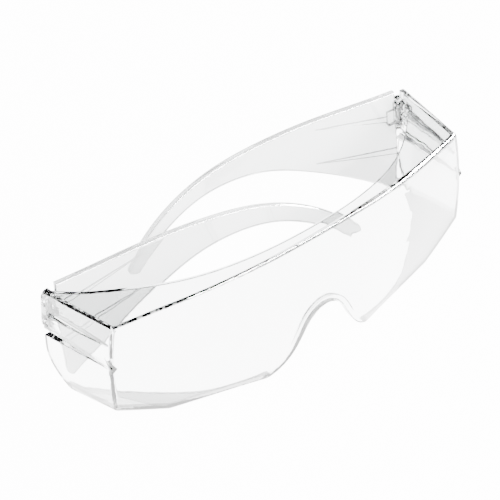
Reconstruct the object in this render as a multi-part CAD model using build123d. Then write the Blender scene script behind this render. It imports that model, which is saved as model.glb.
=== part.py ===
from build123d import *
import os

# Clear over-the-glasses safety spectacles, standing on their lower rim with the temples folded.
# Millimetres. +Z up, -Y is the way the lens faces, X runs from side to side.
# Z = 0 is the surface they stand on, X = 0 is the mirror plane of the front.

os.makedirs("parts", exist_ok=True)

# ---- driving dimensions -------------------------------------------------------------------
WALL = 2.2                 # thickness of the moulded front
TEMPLE_THICKNESS = 2.4
HINGE_X = 75.0             # hinge axes, at X = +/-HINGE_X
HINGE_Y = 22.4
LENS_TOP_Y = HINGE_Y - 48.7        # front face of the lens at the mirror plane, under the brow
LENS_NOSE_Y = HINGE_Y - 52.8       # the same, level with the nose arch
BROW_FALL = 0.095                  # fall of the brow towards the rear, mm per mm

LEFT_FOLD = 102.6          # wearer's right temple (at -X) lies nearest the lens
RIGHT_FOLD = 85.5          # wearer's left temple (at +X) lies behind it

PIN_RADIUS = 0.9
RUNNING_GAP = 0.05         # radial gap of the pin in the temple knuckle
KNUCKLE_RADIUS = 2.5
KNUCKLE_Z = (27.6, 33.0)
LUG_HEIGHT = 2.6
LUG_GAP = 0.35             # gap between knuckle and lug faces
SWEEP_RADIUS = 3.0         # the temple plate keeps this far from the hinge axis beside the lugs

# Plan sections of the front's outer face at three heights, right half, as
# (height, lens face points from the mirror plane to the corner, side face at the rear, corner radius).
SECTIONS = [
    (0.0, [(0, -51.6), (26, -46.2), (50, -39.6), (72.2, -33.3)], (75.4, 5.0), 2.0),
    (26.0, [(0, -52.8), (30, -47.8), (56, -40.2), (74.9, -32.3)], (77.8, 5.0), 1.6),
    (56.0, [(0, -48.4), (34, -46.2), (57, -38.9), (71.4, -31.3)], (78.2, 5.0), 1.4),
]
BROW_ARCH = [(0, 54.5), (30, 53.6), (50, 51.0), (62, 48.4), (72.8, 45.2), (82, 44.4)]
BROW_BACK = [(0, -44.2), (26, -41.6), (42, -35.6), (58, -23.6), (68, -12.6), (75.3, -2.2)]
RIM_BACK = [(24, -43.4), (42, -37.6), (58, -25.2), (67, -16.0), (71.2, -6.0)]
RIM_SKIN = 1.8             # thickness of the lower rim
# The rim's underside rises towards each front corner: three points of that slope, right side.
CORNER_SLOPE = [(74.1, -9.7, 0.0), (72.5, -33.3, 6.4), (57.0, -36.2, 0.6)]
EDGE_RADIUS = 1.4          # rounding of the brow's and the rim's outer edges
# Nose arch in the front view, right half, from its crown down to the rim.
NOSE_ARCH = [(0, 25.4), (5.0, 23.2), (9.6, 16.0), (13.4, 8.5), (19.6, 1.6), (27.0, -1.0)]
NOSE_RIM_DEPTH = 1.8       # how far the rolled edge of the nose arch stands behind the lens
NOSE_RIM_WIDTH = 1.8       # width of that edge round the arch

# Louvres of each side shield:
# (height at the rear, height at the front tip, distance of the tip from the hinge).
LOUVRES = [(32.8, 34.8, 29.6), (23.8, 25.8, 31.6)]
LOUVRE_DEPTH = 2.6         # how far the hood stands in from the side wall at the rear
LOUVRE_SKIN = 1.1
LOUVRE_FLAP = 4.2          # how far the hood hangs below its web at the rear
LOUVRE_TIP = 0.3           # size of the hood at its front tip, as a share of its rear end
LOUVRE_SLOT = 3.0          # slot height in the side wall at the rear

# Temple outline in its own plane: distance from the hinge axis, height.
TEMPLE_TOP = [(2.2, 40.9), (16, 42.5), (36, 45.0), (57, 45.9), (77, 43.8), (92, 38.2), (103.5, 30.8),
              (109.2, 26.0)]
TEMPLE_TIP = (112.8, 21.2)
TEMPLE_BOTTOM = [(109.2, 19.8), (103, 24.8), (95, 29.8), (82, 35.0), (70, 36.0), (57, 33.8), (42, 27.4),
                 (24, 16.7), (7.0, 3.6)]
TEMPLE_FRONT = [(5.0, 5.4), (4.4, 9.0), (3.6, 17.0), (2.6, 30.0)]
# The temple's middle surface leans towards the face below the hinge: height, distance inwards.
TEMPLE_LEAN = [(0.0, 5.6), (8.0, 5.2), (16.0, 4.4), (24.0, 3.0), (32.0, 1.2), (40.0, 0.1), (52.0, 0.0)]
# Steps on the outside of each temple, behind the louvres: start, end, width at the start.
TEMPLE_STEPS = [((2.6, 30.5), (34.0, 39.6), 2.2), ((3.6, 18.4), (35.0, 26.4), 2.2)]
STEP_HEIGHT = 0.7
TEMPLE_EDGE_RADIUS = 0.8   # rounding of the temple's long edges
KNUCKLE_WEB = (5.2, 2.8)   # plan size of the web from the knuckle to the temple plate


def mirrored(points):
    """Right-half points from the mirror plane outwards, completed with their mirror images."""
    return [(-x, y) for x, y in reversed(points) if x > 0] + list(points)


def inward(direction):
    """Unit vector in plan, a quarter turn to the left of a direction."""
    return Vector(-direction.Y, direction.X).normalized()


def plan_section(height, lens, rear, radius, inset=0.0):
    """Closed plan outline of the front at one height, from the lens back to behind the hinges."""
    face = Spline(*mirrored([(x, y + HINGE_Y) for x, y in lens]))
    rear_end = Vector(rear[0], rear[1] + HINGE_Y)
    corner = face @ 1
    if inset:
        face_in = inward(face % 1)
        side_in = inward(rear_end - corner)
        corner = corner + (face_in + side_in) * (inset / (1 + face_in.dot(side_in)))
        rear_end = rear_end + Vector(-inset, 0)
        between = [face @ t + inward(face % t) * inset for t in (0.1, 0.23, 0.36, 0.5, 0.64, 0.77, 0.9)]
        face = Spline((-corner.X, corner.Y), *between, corner)
    right = Line(corner, rear_end)
    back = Line(rear_end, (-rear_end.X, rear_end.Y))
    left = Line((-rear_end.X, rear_end.Y), (-corner.X, corner.Y))
    outline = make_face([face, right, back, left])
    front_corners = outline.vertices().sort_by(Axis.Y)[:2]
    return Pos(0, 0, height) * fillet(front_corners, max(radius - inset, 0.8))


def front_volume(inset):
    """Volume inside the front's outer face, or inside its inner face when inset by the wall."""
    return loft([plan_section(*section, inset=inset) for section in SECTIONS])


def under_brow(drop):
    """Volume under the brow surface, from ahead of the lens: an arch that falls slightly to the rear."""
    lead = 20.0
    lift = BROW_FALL * lead
    arch = [(x, z + lift - drop) for x, z in BROW_ARCH]
    half_width = arch[-1][0]
    edge = Spline(*mirrored(arch))
    shoulder = arch[-1][1]
    sides = Polyline((half_width, shoulder), (half_width, -20), (-half_width, -20), (-half_width, shoulder))
    face = Plane.XZ.offset(lead - LENS_TOP_Y) * make_face([edge, sides])
    return extrude(face, amount=110, dir=(0, 1, -BROW_FALL))


def over_rim(lift):
    """Volume over the rim's underside: flat in the middle, sloping up at both front corners."""
    a, b, c = [Vector(x, y + HINGE_Y, z) for x, y, z in CORNER_SLOPE]
    normal = (b - a).cross(c - a).normalized()
    normal = normal if normal.Z > 0 else -normal
    slope = Plane(origin=a + normal * lift, z_dir=normal) * extrude(Rectangle(500, 500), amount=200)
    flat = Pos(0, 0, lift) * extrude(Rectangle(400, 400), amount=100)
    return flat & slope & mirror(slope, Plane.YZ)


def behind_rear_edge():
    """Everything behind the rear edges of the side shields, which round forwards at the bottom."""
    y = HINGE_Y
    path = Polyline((y - 11.5, -5), (y + 30, -5), (y + 30, 70), (y, 70), (y, 15.0))
    sweep_in = Spline((y, 15.0), (y - 1.3, 8.8), (y - 4.3, 4.4), (y - 11.5, -0.6),
                      tangents=[(0, -1), (-1, -0.55)])
    close = Line((y - 11.5, -0.6), (y - 11.5, -5))
    return extrude(Plane.YZ * make_face([path, sweep_in, close]), amount=90, both=True)


def plan_cut(points, low, high):
    """Prism open to the rear, bounded at the front by the given back edge."""
    edge = Spline(*mirrored([(x, y + HINGE_Y) for x, y in points]))
    end_x, end_y = points[-1][0], points[-1][1] + HINGE_Y
    rest = Polyline((end_x, end_y), (end_x, HINGE_Y + 20), (-end_x, HINGE_Y + 20), (-end_x, end_y))
    return extrude(Pos(0, 0, low) * make_face([edge, rest]), amount=high - low)


def nose_prism(grow, front_y, rear_y):
    """Prism through the nose arch along Y, grown outwards for the rolled edge round it."""
    edge = Spline(*mirrored(NOSE_ARCH))
    if grow:
        shares = (0, 0.15, 0.3, 0.42, 0.5, 0.58, 0.7, 0.85, 1)
        edge = Spline(*[edge @ t + inward(edge % t) * grow for t in shares])
    end = edge @ 1
    close = Polyline(end, (end.X, -12), (-end.X, -12), (-end.X, end.Y))
    face = make_face([edge, close])
    return extrude(Plane.XZ.offset(-front_y) * face, amount=-(rear_y - front_y))


def wall_at(y_from_hinge, z):
    """X of the side shield's outer face at a distance from the hinge line and a height."""
    (z0, lens0, rear0, _), (z1, lens1, rear1, _), (z2, lens2, rear2, _) = SECTIONS

    def at(lens, rear):
        (cx, cy), (rx, ry) = lens[-1], rear
        return cx + (rx - cx) * (y_from_hinge - cy) / (ry - cy)

    if z <= z1:
        return at(lens0, rear0) + (at(lens1, rear1) - at(lens0, rear0)) * (z - z0) / (z1 - z0)
    return at(lens1, rear1) + (at(lens2, rear2) - at(lens1, rear1)) * (z - z1) / (z2 - z1)


def hood(rear_z, tip_z, reach):
    """Louvre hood inside the right side wall: a web and a hanging flap, tapering to the front tip."""
    tip_x = wall_at(-reach, tip_z) - WALL / 2
    rear_x = wall_at(0, rear_z) - WALL / 2
    inner_x = rear_x - LOUVRE_DEPTH
    flap_z = rear_z - LOUVRE_FLAP
    outline = Polyline(
        (rear_x, rear_z), (inner_x + 0.7, rear_z - 0.3), (inner_x, rear_z - 1.2), (inner_x, flap_z),
        (inner_x + LOUVRE_SKIN, flap_z), (inner_x + LOUVRE_SKIN, rear_z - 1.8),
        (inner_x + 1.5, rear_z - LOUVRE_SKIN - 0.3), (rear_x, rear_z - LOUVRE_SKIN), close=True)
    tip_points = [(tip_x + (p.X - rear_x) * LOUVRE_TIP, tip_z + (p.Y - rear_z) * LOUVRE_TIP)
                  for p in outline.vertices()]
    rear = Plane.XZ.offset(-HINGE_Y) * make_face(outline)
    tip_wire = Polyline(*tip_points, close=True)
    tip = Plane.XZ.offset(-(HINGE_Y - reach)) * make_face(tip_wire)
    return loft([tip, rear], ruled=True)


def slot(rear_z, tip_z, reach):
    """Wedge-shaped slot through the right side wall, under a louvre hood."""
    top_rear, top_tip = rear_z - LOUVRE_SKIN, tip_z - LOUVRE_SKIN / 2
    wedge = Polyline((HINGE_Y + 1, top_rear), (HINGE_Y - reach + 2.5, top_tip),
                     (HINGE_Y + 1, top_rear - LOUVRE_SLOT), close=True)
    inside = wall_at(0, rear_z) - 2 * WALL
    return extrude(Plane.YZ.offset(inside) * make_face(wedge), amount=4 * WALL)


def lug(low, high):
    """One hinge lug of the right side shield, joined to its inner face."""
    boss = Pos(HINGE_X, HINGE_Y, low) * extrude(Circle(KNUCKLE_RADIUS), amount=high - low)
    wall_x = wall_at(-4, (low + high) / 2) - WALL / 2
    web_plan = Polyline((HINGE_X - 0.6, HINGE_Y - 2.2), (HINGE_X - 0.2, HINGE_Y - 7.0),
                        (wall_x, HINGE_Y - 8.0), (wall_x, HINGE_Y), (HINGE_X, HINGE_Y), close=True)
    web = Pos(0, 0, low) * extrude(make_face(web_plan), amount=high - low)
    return boss + web


def round_bar(radius, low, high):
    """Upright bar on the right hinge axis."""
    return Pos(HINGE_X, HINGE_Y, low) * extrude(Circle(radius), amount=high - low)


LUGS = [(KNUCKLE_Z[0] - LUG_GAP - LUG_HEIGHT, KNUCKLE_Z[0] - LUG_GAP),
        (KNUCKLE_Z[1] + LUG_GAP, KNUCKLE_Z[1] + LUG_GAP + LUG_HEIGHT)]


def both_sides(shape):
    return shape + mirror(shape, Plane.YZ)


def long_outer_edges(volume):
    """Long edges where the brow and the rim's underside meet the lens and the side shields."""
    return [e for e in volume.edges()
            if e.length > 20 and e.center().Y < HINGE_Y - 1 and abs(e.tangent_at(0.5).Z) < 0.75]


def front_shield():
    """One-piece front: lens, brow shelf, lower rim, nose arch, louvred side shields and hinge lugs."""
    outer = front_volume(0) & under_brow(0) & over_rim(0)
    outer = fillet(long_outer_edges(outer), EDGE_RADIUS)
    inner = front_volume(WALL) & under_brow(WALL) & over_rim(RIM_SKIN)
    shell = outer - inner
    nose_rim_back = LENS_NOSE_Y + WALL + NOSE_RIM_DEPTH
    shell = shell + (nose_prism(NOSE_RIM_WIDTH, LENS_NOSE_Y - 5, nose_rim_back) & outer)
    shell = shell - behind_rear_edge()
    shell = shell - plan_cut(BROW_BACK, 30, 80)
    shell = shell - plan_cut(RIM_BACK, -5, 12)
    shell = shell - nose_prism(0, LENS_NOSE_Y - 20, HINGE_Y)
    for rear_z, tip_z, reach in LOUVRES:
        shell = shell - both_sides(slot(rear_z, tip_z, reach))
        shell = shell + both_sides(hood(rear_z, tip_z, reach))
    shell = shell - both_sides(round_bar(SWEEP_RADIUS, LUGS[0][0], LUGS[1][1]))
    for low, high in LUGS:
        shell = shell + both_sides(lug(low, high) - round_bar(PIN_RADIUS, low - 1, high + 1))
    return shell


def temple():
    """Right temple, pointing along +X from the hinge axis at the origin, its inner side at +Y."""
    outline = make_face([
        Spline(*TEMPLE_TOP), Spline(TEMPLE_TOP[-1], TEMPLE_TIP, TEMPLE_BOTTOM[0]), Spline(*TEMPLE_BOTTOM),
        Spline(TEMPLE_BOTTOM[-1], *TEMPLE_FRONT), Line(TEMPLE_FRONT[-1], TEMPLE_TOP[0])])
    plate = extrude(Plane.XZ * outline, amount=20, both=True)

    def leaning_slab(outside, inside):
        """Slab that follows the temple's lean, from its outer to its inner face."""
        outer_edge = Spline(*[(lean - outside, z) for z, lean in TEMPLE_LEAN])
        inner_edge = Spline(*[(lean + inside, z) for z, lean in TEMPLE_LEAN])
        ends = [Line(outer_edge @ 0, inner_edge @ 0), Line(outer_edge @ 1, inner_edge @ 1)]
        return extrude(Plane.YZ.offset(-5) * make_face([outer_edge, inner_edge, *ends]), amount=130)

    half = TEMPLE_THICKNESS / 2
    body = plate & leaning_slab(half, half)
    body = fillet([e for e in body.edges() if e.length > 4 and abs(e.center().Y) > 0], TEMPLE_EDGE_RADIUS)
    for (s0, z0), (s1, z1), width in TEMPLE_STEPS:
        strip = make_face(Polyline((s0, z0), (s1, z1), (s0, z0 - width), close=True))
        step = extrude(Plane.XZ * strip, amount=20, both=True) & leaning_slab(half + STEP_HEIGHT, half)
        body = body + step
    low, high = KNUCKLE_Z
    clear_low, clear_high = LUGS[0][0] - LUG_GAP, LUGS[1][1] + LUG_GAP
    clear = Pos(0, 0, clear_low) * extrude(Circle(SWEEP_RADIUS), amount=clear_high - clear_low)
    knuckle = extrude(Circle(KNUCKLE_RADIUS), amount=high - low)
    web_length, web_width = KNUCKLE_WEB
    web = Pos(web_length / 2, 0.4, (high - low) / 2) * Box(web_length, web_width, high - low)
    body = body - clear + Pos(0, 0, low) * (knuckle + web)
    return body - Pos(0, 0, low - 1) * extrude(Circle(PIN_RADIUS + RUNNING_GAP), amount=high - low + 2)


def hinge_pin():
    """Plain pin, fixed in the two lugs of a side shield."""
    return Pos(0, 0, LUGS[0][0]) * extrude(Circle(PIN_RADIUS), amount=LUGS[1][1] - LUGS[0][0])


open_temple = temple()
# Folded, each temple's inner side faces the lens.
temple_right = Pos(HINGE_X, HINGE_Y, 0) * Rot(0, 0, 90 + RIGHT_FOLD) * open_temple
temple_left = Pos(-HINGE_X, HINGE_Y, 0) * Rot(0, 0, 90 - LEFT_FOLD) * mirror(open_temple, Plane.XZ)

nodes = {
    "front_shield": front_shield(),
    "temple_left": temple_left,
    "temple_right": temple_right,
    "hinge_pin_left": Pos(-HINGE_X, HINGE_Y, 0) * hinge_pin(),
    "hinge_pin_right": Pos(HINGE_X, HINGE_Y, 0) * hinge_pin(),
}
for name, shape in nodes.items():
    shape.label = name
    export_step(shape, f"parts/{name}.step")
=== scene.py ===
import math

import bpy
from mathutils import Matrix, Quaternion, Vector

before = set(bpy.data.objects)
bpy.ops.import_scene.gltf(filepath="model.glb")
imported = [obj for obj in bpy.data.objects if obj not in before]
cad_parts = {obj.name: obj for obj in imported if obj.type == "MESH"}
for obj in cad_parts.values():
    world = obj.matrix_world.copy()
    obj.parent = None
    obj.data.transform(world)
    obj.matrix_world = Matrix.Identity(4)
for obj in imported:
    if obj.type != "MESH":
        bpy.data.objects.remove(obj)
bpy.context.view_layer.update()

# ---- camera: the viewing angle of the picture, near parallel --------------------------------
AZIMUTH = math.radians(-39.02)
ELEVATION = math.radians(43.08)
ROLL = math.radians(-0.52)
DISTANCE = 3.0                 # metres from the aim point
PIXELS_PER_MM = 3.0133         # at the aim point, in a 500 pixel frame
FRAME_PIXELS = 500
SENSOR_MM = 36.0
AIM = Vector((0.0, 0.0085, 0.0222))
ASIDE = (-0.000676, -0.00041)  # shift of the aim point along the picture's axes

# ---- studio ------------------------------------------------------------------------------------
TABLE_GLOW = 14.0              # emission in the middle of the light table
TABLE_EDGE = 1.0               # emission beyond the lit part
TABLE_RADIUS = 0.2
TABLE_HALF = 8.0
TABLE_DROP = 0.0004            # gap under the rim
SKY_GLOW = 0.3
BAND_GLOW = 9.0                # bright band of the surroundings, low down behind the table
BAND_TOP = 0.3
BAND_FADE = 0.2
LAMP_AIM = Vector((0.0, 0.0, 0.02))

# ---- clear plastic -----------------------------------------------------------------------------
POLYCARBONATE_IOR = 1.585
WELD_GAP = 0.000002
EDGE_WIDTH = 0.0002            # rounding of the sharp edges
EDGE_ANGLE = math.radians(60)

# Three points of the rim's underside where it slopes up to the front corner, right side.
RIM_CORNER = [(0.0741, 0.0127, 0.0), (0.0725, -0.0109, 0.0064), (0.057, -0.0138, 0.0006)]
RIM_SKIN = 0.0018
# Painted shade on the rim's lower skin fades out between these heights above the underside.
RIM_SHADE_FADE = (RIM_SKIN + 0.0009, RIM_SKIN + 0.0012)


def look_direction():
    """Unit vector from the aim point back to the camera."""
    return Vector((math.sin(AZIMUTH) * math.cos(ELEVATION),
                   -math.cos(AZIMUTH) * math.cos(ELEVATION),
                   math.sin(ELEVATION)))


def smooth_ramp(tree, source, low, high, to_low=0.0, to_high=1.0):
    """Map the source socket smoothly from low...high to to_low...to_high."""
    node = tree.nodes.new("ShaderNodeMapRange")
    node.interpolation_type = "SMOOTHSTEP"
    for socket, value in (("From Min", low), ("From Max", high), ("To Min", to_low), ("To Max", to_high)):
        node.inputs[socket].default_value = value
    tree.links.new(source, node.inputs["Value"])
    return node.outputs["Result"]


def add_camera():
    data = bpy.data.cameras.new("camera")
    data.sensor_width = SENSOR_MM
    data.lens = SENSOR_MM * DISTANCE * 1000 * PIXELS_PER_MM / FRAME_PIXELS
    data.clip_end = 20
    camera = bpy.data.objects.new("camera", data)
    turn = look_direction().to_track_quat("Z", "Y") @ Quaternion((0, 0, 1), ROLL)
    aim = AIM + turn @ Vector((*ASIDE, 0))
    camera.location = aim + look_direction() * DISTANCE
    camera.rotation_euler = turn.to_euler()
    bpy.context.scene.collection.objects.link(camera)
    bpy.context.scene.camera = camera


def add_area(name, location, size, power):
    data = bpy.data.lights.new(name, "AREA")
    data.shape = "RECTANGLE"
    data.size, data.size_y = size
    data.energy = power
    lamp = bpy.data.objects.new(name, data)
    lamp.location = location
    lamp.rotation_euler = (Vector(location) - LAMP_AIM).to_track_quat("Z", "Y").to_euler()
    lamp.visible_camera = False
    bpy.context.scene.collection.objects.link(lamp)


def add_world():
    """Studio round the table: dim overhead and in front, with a bright band low down behind."""
    world = bpy.data.worlds.new("studio")
    bpy.context.scene.world = world
    world.use_nodes = True
    nodes, links = world.node_tree.nodes, world.node_tree.links
    background = nodes["Background"]
    coords = nodes.new("ShaderNodeTexCoord")
    split = nodes.new("ShaderNodeSeparateXYZ")
    links.new(coords.outputs["Generated"], split.inputs[0])
    low = smooth_ramp(world.node_tree, split.outputs["Z"], BAND_TOP, BAND_TOP + BAND_FADE, 1.0, 0.0)
    behind = smooth_ramp(world.node_tree, split.outputs["Y"], -0.2, 0.4, 0.0, BAND_GLOW)
    both = nodes.new("ShaderNodeMath")
    both.operation = "MULTIPLY"
    total = nodes.new("ShaderNodeMath")
    total.operation = "ADD"
    total.inputs[1].default_value = SKY_GLOW
    links.new(low, both.inputs[0])
    links.new(behind, both.inputs[1])
    links.new(both.outputs[0], total.inputs[0])
    links.new(total.outputs[0], background.inputs["Strength"])


def add_floor():
    """White light table that the glasses stand on."""
    half = TABLE_HALF
    mesh = bpy.data.meshes.new("floor")
    corners = [(-half, -half, 0), (half, -half, 0), (half, half, 0), (-half, half, 0)]
    mesh.from_pydata(corners, [], [(0, 1, 2, 3)])
    floor = bpy.data.objects.new("floor", mesh)
    floor.location.z = -TABLE_DROP
    material = bpy.data.materials.new("floor")
    material.use_nodes = True
    shader = material.node_tree.nodes["Principled BSDF"]
    shader.inputs["Base Color"].default_value = (0.02, 0.02, 0.02, 1)
    shader.inputs["Roughness"].default_value = 0.9
    shader.inputs["Specular IOR Level"].default_value = 0.0
    shader.inputs["Emission Color"].default_value = (1, 1, 1, 1)
    nodes, links = material.node_tree.nodes, material.node_tree.links
    coords = nodes.new("ShaderNodeTexCoord")
    length = nodes.new("ShaderNodeVectorMath")
    length.operation = "LENGTH"
    links.new(coords.outputs["Object"], length.inputs[0])
    glow = smooth_ramp(material.node_tree, length.outputs["Value"], TABLE_RADIUS, TABLE_RADIUS * 2,
                       TABLE_GLOW, TABLE_EDGE)
    links.new(glow, shader.inputs["Emission Strength"])
    mesh.materials.append(material)
    bpy.context.scene.collection.objects.link(floor)


def painted_edge_shade_material(name, dark, light, share):
    """Sharp edges of the moulding: painted shade in the base colour, dark where light is trapped in the
    wall, with bright breaks.
    """
    material = bpy.data.materials.new(name)
    material.use_nodes = True
    nodes, links = material.node_tree.nodes, material.node_tree.links
    shader = nodes["Principled BSDF"]
    shader.inputs["Transmission Weight"].default_value = 1.0
    shader.inputs["IOR"].default_value = POLYCARBONATE_IOR
    shader.inputs["Roughness"].default_value = 0.05
    coords = nodes.new("ShaderNodeTexCoord")
    noise = nodes.new("ShaderNodeTexNoise")
    noise.inputs["Scale"].default_value = 600
    noise.inputs["Detail"].default_value = 3.0
    links.new(coords.outputs["Object"], noise.inputs["Vector"])
    shade_breaks = smooth_ramp(material.node_tree, noise.outputs["Fac"], share - 0.03, share + 0.03)
    mix = nodes.new("ShaderNodeMix")
    mix.data_type = "RGBA"
    mix.inputs["A"].default_value = (*dark, 1)
    mix.inputs["B"].default_value = (*light, 1)
    links.new(shade_breaks, mix.inputs["Factor"])
    links.new(mix.outputs["Result"], shader.inputs["Base Color"])
    links.new(shade_breaks, shader.inputs["Transmission Weight"])
    return material


def slope_plane(side):
    """Unit normal and offset of the plane under the rim's sloping corner on one side."""
    a, b, c = [Vector((side * x, y, z)) for x, y, z in RIM_CORNER]
    normal = (b - a).cross(c - a).normalized()
    normal = normal if normal.z > 0 else -normal
    return normal, normal.dot(a)


def clear_plastic(name, tint, outline_shade, density, haze, rim_shade=None, milk=0.0):
    """Clear moulded polycarbonate: painted shade in the base colour where it turns away and on the rim's
    lower skin, faint handling haze and mould ripple.
    """
    material = bpy.data.materials.new(name)
    material.use_nodes = True
    nodes, links = material.node_tree.nodes, material.node_tree.links
    shader = nodes["Principled BSDF"]
    output = nodes["Material Output"]
    shader.inputs["Transmission Weight"].default_value = 1.0 - milk
    shader.inputs["IOR"].default_value = POLYCARBONATE_IOR
    coords = nodes.new("ShaderNodeTexCoord")

    def noise(scale, detail):
        node = nodes.new("ShaderNodeTexNoise")
        node.inputs["Scale"].default_value = scale
        node.inputs["Detail"].default_value = detail
        links.new(coords.outputs["Object"], node.inputs["Vector"])
        return node

    def span(source, *limits):
        return smooth_ramp(material.node_tree, source, *limits)

    def blend(factor, first, second):
        node = nodes.new("ShaderNodeMix")
        node.data_type = "RGBA"
        links.new(factor, node.inputs["Factor"])
        for socket, value in ((node.inputs["A"], first), (node.inputs["B"], second)):
            if isinstance(value, tuple):
                socket.default_value = (*value, 1)
            else:
                links.new(value, socket)
        return node.outputs["Result"]

    # painted shade: the base colour darkens within the rim's lower skin, above the underside and the
    # sloping corners
    colour = tint
    if rim_shade:
        split = nodes.new("ShaderNodeSeparateXYZ")
        links.new(coords.outputs["Object"], split.inputs[0])
        lift = split.outputs["Z"]
        for side in (1, -1):
            normal, offset = slope_plane(side)
            height = nodes.new("ShaderNodeVectorMath")
            height.operation = "DOT_PRODUCT"
            height.inputs[1].default_value = normal
            links.new(coords.outputs["Object"], height.inputs[0])
            above = nodes.new("ShaderNodeMath")
            above.operation = "SUBTRACT"
            above.inputs[1].default_value = offset
            links.new(height.outputs["Value"], above.inputs[0])
            lower = nodes.new("ShaderNodeMath")
            lower.operation = "MINIMUM"
            links.new(lift, lower.inputs[0])
            links.new(above.outputs[0], lower.inputs[1])
            lift = lower.outputs[0]
        colour = blend(span(lift, *RIM_SHADE_FADE, 1, 0), tint, rim_shade)
    # painted shade: base colour blends to the outline shade colour where the surface turns away from the
    # view
    facing = nodes.new("ShaderNodeLayerWeight")
    facing.inputs["Blend"].default_value = 0.5
    outline_shade_mask = span(facing.outputs["Facing"], 0.72, 0.95, 0, 1)
    colour = blend(outline_shade_mask, colour, outline_shade)
    links.new(colour, shader.inputs["Base Color"])

    links.new(span(noise(60, 4).outputs["Fac"], 0.3, 0.8, 0, haze), shader.inputs["Roughness"])
    bump = nodes.new("ShaderNodeBump")
    bump.inputs["Strength"].default_value = 0.05
    bump.inputs["Distance"].default_value = 0.0002
    links.new(noise(220, 1).outputs["Fac"], bump.inputs["Height"])
    links.new(bump.outputs["Normal"], shader.inputs["Normal"])
    absorption = nodes.new("ShaderNodeVolumeAbsorption")
    absorption.inputs["Color"].default_value = (0, 0, 0, 1)
    absorption.inputs["Density"].default_value = density
    links.new(absorption.outputs[0], output.inputs["Volume"])
    return material


add_camera()
add_world()
add_floor()
add_area("softbox_right", (0.91, -0.45, 0.42), (0.9, 0.5), 380)
add_area("softbox_front", (0.2, -0.8, 0.72), (1.1, 0.4), 380)
add_area("softbox_side", (1.0, 0.12, 0.4), (0.6, 0.5), 250)
# the rim colour on the front is painted shade on the rim's lower skin
# the third colour of each plastic is painted outline shade for where the surface turns away
front = clear_plastic("clear_front", (0.72, 0.73, 0.73), (0.1, 0.1, 0.1), 30, 0.03, rim_shade=(0.27, 0.27, 0.27))
# painted shade: near-black lines on the bevelled edges, broken by noise
edges = painted_edge_shade_material("painted_edge_shade", (0.0001, 0.0001, 0.0001), (0.8, 0.8, 0.8), 0.52)
arms = clear_plastic("clear_temples", (0.34, 0.345, 0.345), (0.3, 0.3, 0.3), 4, 0.15, milk=0.15)
for node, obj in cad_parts.items():
    obj.data.materials.clear()
    obj.data.materials.append(arms if "temple" in node else front)
    if node == "front_shield":
        obj.data.materials.append(edges)
        weld = obj.modifiers.new("weld", "WELD")
        weld.merge_threshold = WELD_GAP
        bevel = obj.modifiers.new("bevel", "BEVEL")
        bevel.width = EDGE_WIDTH
        bevel.use_clamp_overlap = False
        bevel.segments = 1
        bevel.limit_method = "ANGLE"
        bevel.angle_limit = EDGE_ANGLE
        # the bevel faces carry the painted edge shade material
        bevel.material = 1
        bevel.face_strength_mode = "FSTR_AFFECTED"
        smooth = obj.modifiers.new("smooth", "WEIGHTED_NORMAL")
        smooth.keep_sharp = False
        smooth.use_face_influence = True
        smooth.mode = "FACE_AREA"
        smooth.weight = 50
